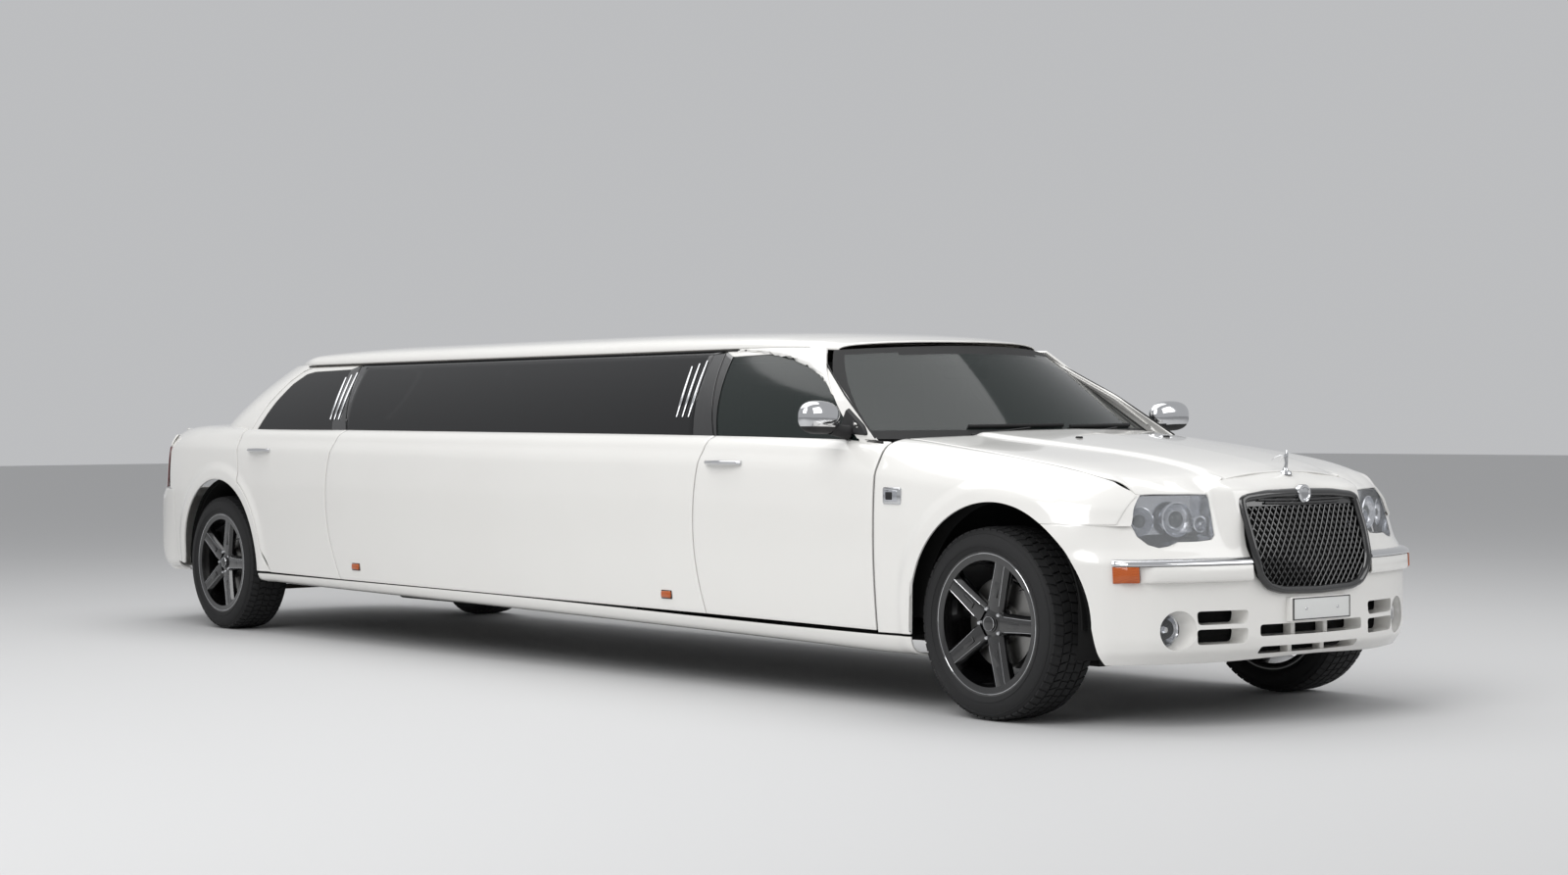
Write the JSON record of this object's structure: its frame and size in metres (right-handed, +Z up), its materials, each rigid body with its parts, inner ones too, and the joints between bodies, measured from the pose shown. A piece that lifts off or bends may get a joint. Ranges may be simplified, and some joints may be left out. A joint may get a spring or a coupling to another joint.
{
  "type": "stretch limousine",
  "caption": "White stretch limousine with a long tinted side window, hinged doors, hood and boot lid, steered front wheels and wheels that roll.",
  "frame": {"origin": "on the ground under the middle of the car's length", "axes": "+X forward, +Y to the car's left, +Z up"},
  "size_m": [8.05, 2.21, 1.5338],
  "materials": {
    "paint": "gloss clear coat",
    "chassis": "satin black",
    "bumper": "gloss clear coat",
    "grille_black": "gloss",
    "trim_black": "grained",
    "chrome": "polished",
    "lamp": "clear",
    "tail_lamp": "gloss",
    "clear_glass": "green tint",
    "dark_glass": "dark tint",
    "tyre": "matt",
    "wheel": "gloss black",
    "iron": "as cast",
    "steel": "bare",
    "leather": "smooth",
    "carpet": "cut pile"
  },
  "bodies": {
    "body": {"front_fenders": "paint", "headlamps": "lamp", "grille": "grille_black", "front_bumper": "bumper", "fog_lamps": "lamp", "rear_bumper": "bumper", "tail_lamps": "tail_lamp", "quarter_panels": "paint", "side_panels": "paint", "sills": "paint", "roof_panel": "paint", "screen_frame": "paint", "windscreen": "clear_glass", "rear_window": "dark_glass", "side_windows": "dark_glass", "cowl": "trim_black", "floor_pan": "chassis", "boot_floor": "carpet", "arch_liners": "trim_black", "front_subframe": "chassis", "rear_axle": "iron", "drive_shaft": "steel", "exhaust": "steel", "engine_block": "iron", "radiator": "trim_black", "dashboard": "trim_black", "steering_wheel": "leather", "front_seats": "leather", "lounge_seats": "leather", "bar_console": "trim_black", "partition": "carpet", "wipers": "trim_black", "hood_ornament": "chrome"},
    "hood": {"hood": "paint"},
    "boot_lid": {"boot_lid": "paint"},
    "door_front_right": {"door_front_right": "paint", "glass_front_right": "clear_glass", "mirror_right": "chrome"},
    "door_rear_right": {"door_rear_right": "paint", "glass_rear_right": "dark_glass"},
    "knuckle_right": {"knuckle_right": "iron"},
    "wheel_front_right": {"wheel_front_right": "wheel", "tyre_front_right": "tyre"},
    "wheel_rear_right": {"wheel_rear_right": "wheel", "tyre_rear_right": "tyre"},
    "door_front_left": {"door_front_left": "paint", "glass_front_left": "clear_glass", "mirror_left": "chrome"},
    "door_rear_left": {"door_rear_left": "paint", "glass_rear_left": "dark_glass"},
    "knuckle_left": {"knuckle_left": "iron"},
    "wheel_front_left": {"wheel_front_left": "wheel", "tyre_front_left": "tyre"},
    "wheel_rear_left": {"wheel_rear_left": "wheel", "tyre_rear_left": "tyre"}
  },
  "joints": [
    {"name": "hood_hinge", "type": "hinge", "parent": "body", "child": "hood", "pos_m": [2.6, 0, 1.03], "axis": [0, -1, 0], "range_deg": [0, 50]},
    {"name": "boot_lid_hinge", "type": "hinge", "parent": "body", "child": "boot_lid", "pos_m": [-3.615, 0, 1.136], "axis": [0, 1, 0], "range_deg": [0, 75]},
    {"name": "door_front_right_hinge", "type": "hinge", "parent": "body", "child": "door_front_right", "pos_m": [2.561, -0.937, 0.7], "axis": [0, 0, 1], "range_deg": [0, 65]},
    {"name": "door_rear_right_hinge", "type": "hinge", "parent": "body", "child": "door_rear_right", "pos_m": [-1.637, -0.937, 0.7], "axis": [0, 0, 1], "range_deg": [0, 65]},
    {"name": "steer_right", "type": "hinge", "parent": "body", "child": "knuckle_right", "pos_m": [3.185, -0.72, 0.364], "axis": [0, 0, 1], "range_deg": [-32, 32]},
    {"name": "spin_front_right", "type": "hinge", "parent": "knuckle_right", "child": "wheel_front_right", "pos_m": [3.185, -0.8, 0.364], "axis": [0, 1, 0], "continuous": true},
    {"name": "spin_rear_right", "type": "hinge", "parent": "body", "child": "wheel_rear_right", "pos_m": [-2.915, -0.8, 0.364], "axis": [0, 1, 0], "continuous": true},
    {"name": "door_front_left_hinge", "type": "hinge", "parent": "body", "child": "door_front_left", "pos_m": [2.561, 0.937, 0.7], "axis": [0, 0, -1], "range_deg": [0, 65]},
    {"name": "door_rear_left_hinge", "type": "hinge", "parent": "body", "child": "door_rear_left", "pos_m": [-1.637, 0.937, 0.7], "axis": [0, 0, -1], "range_deg": [0, 65]},
    {"name": "steer_left", "type": "hinge", "parent": "body", "child": "knuckle_left", "pos_m": [3.185, 0.72, 0.364], "axis": [0, 0, 1], "range_deg": [-32, 32]},
    {"name": "spin_front_left", "type": "hinge", "parent": "knuckle_left", "child": "wheel_front_left", "pos_m": [3.185, 0.8, 0.364], "axis": [0, 1, 0], "continuous": true},
    {"name": "spin_rear_left", "type": "hinge", "parent": "body", "child": "wheel_rear_left", "pos_m": [-2.915, 0.8, 0.364], "axis": [0, 1, 0], "continuous": true}
  ],
  "couplings": [
    {"joint": "steer_left", "follows": "steer_right", "ratio": 1}
  ]
}
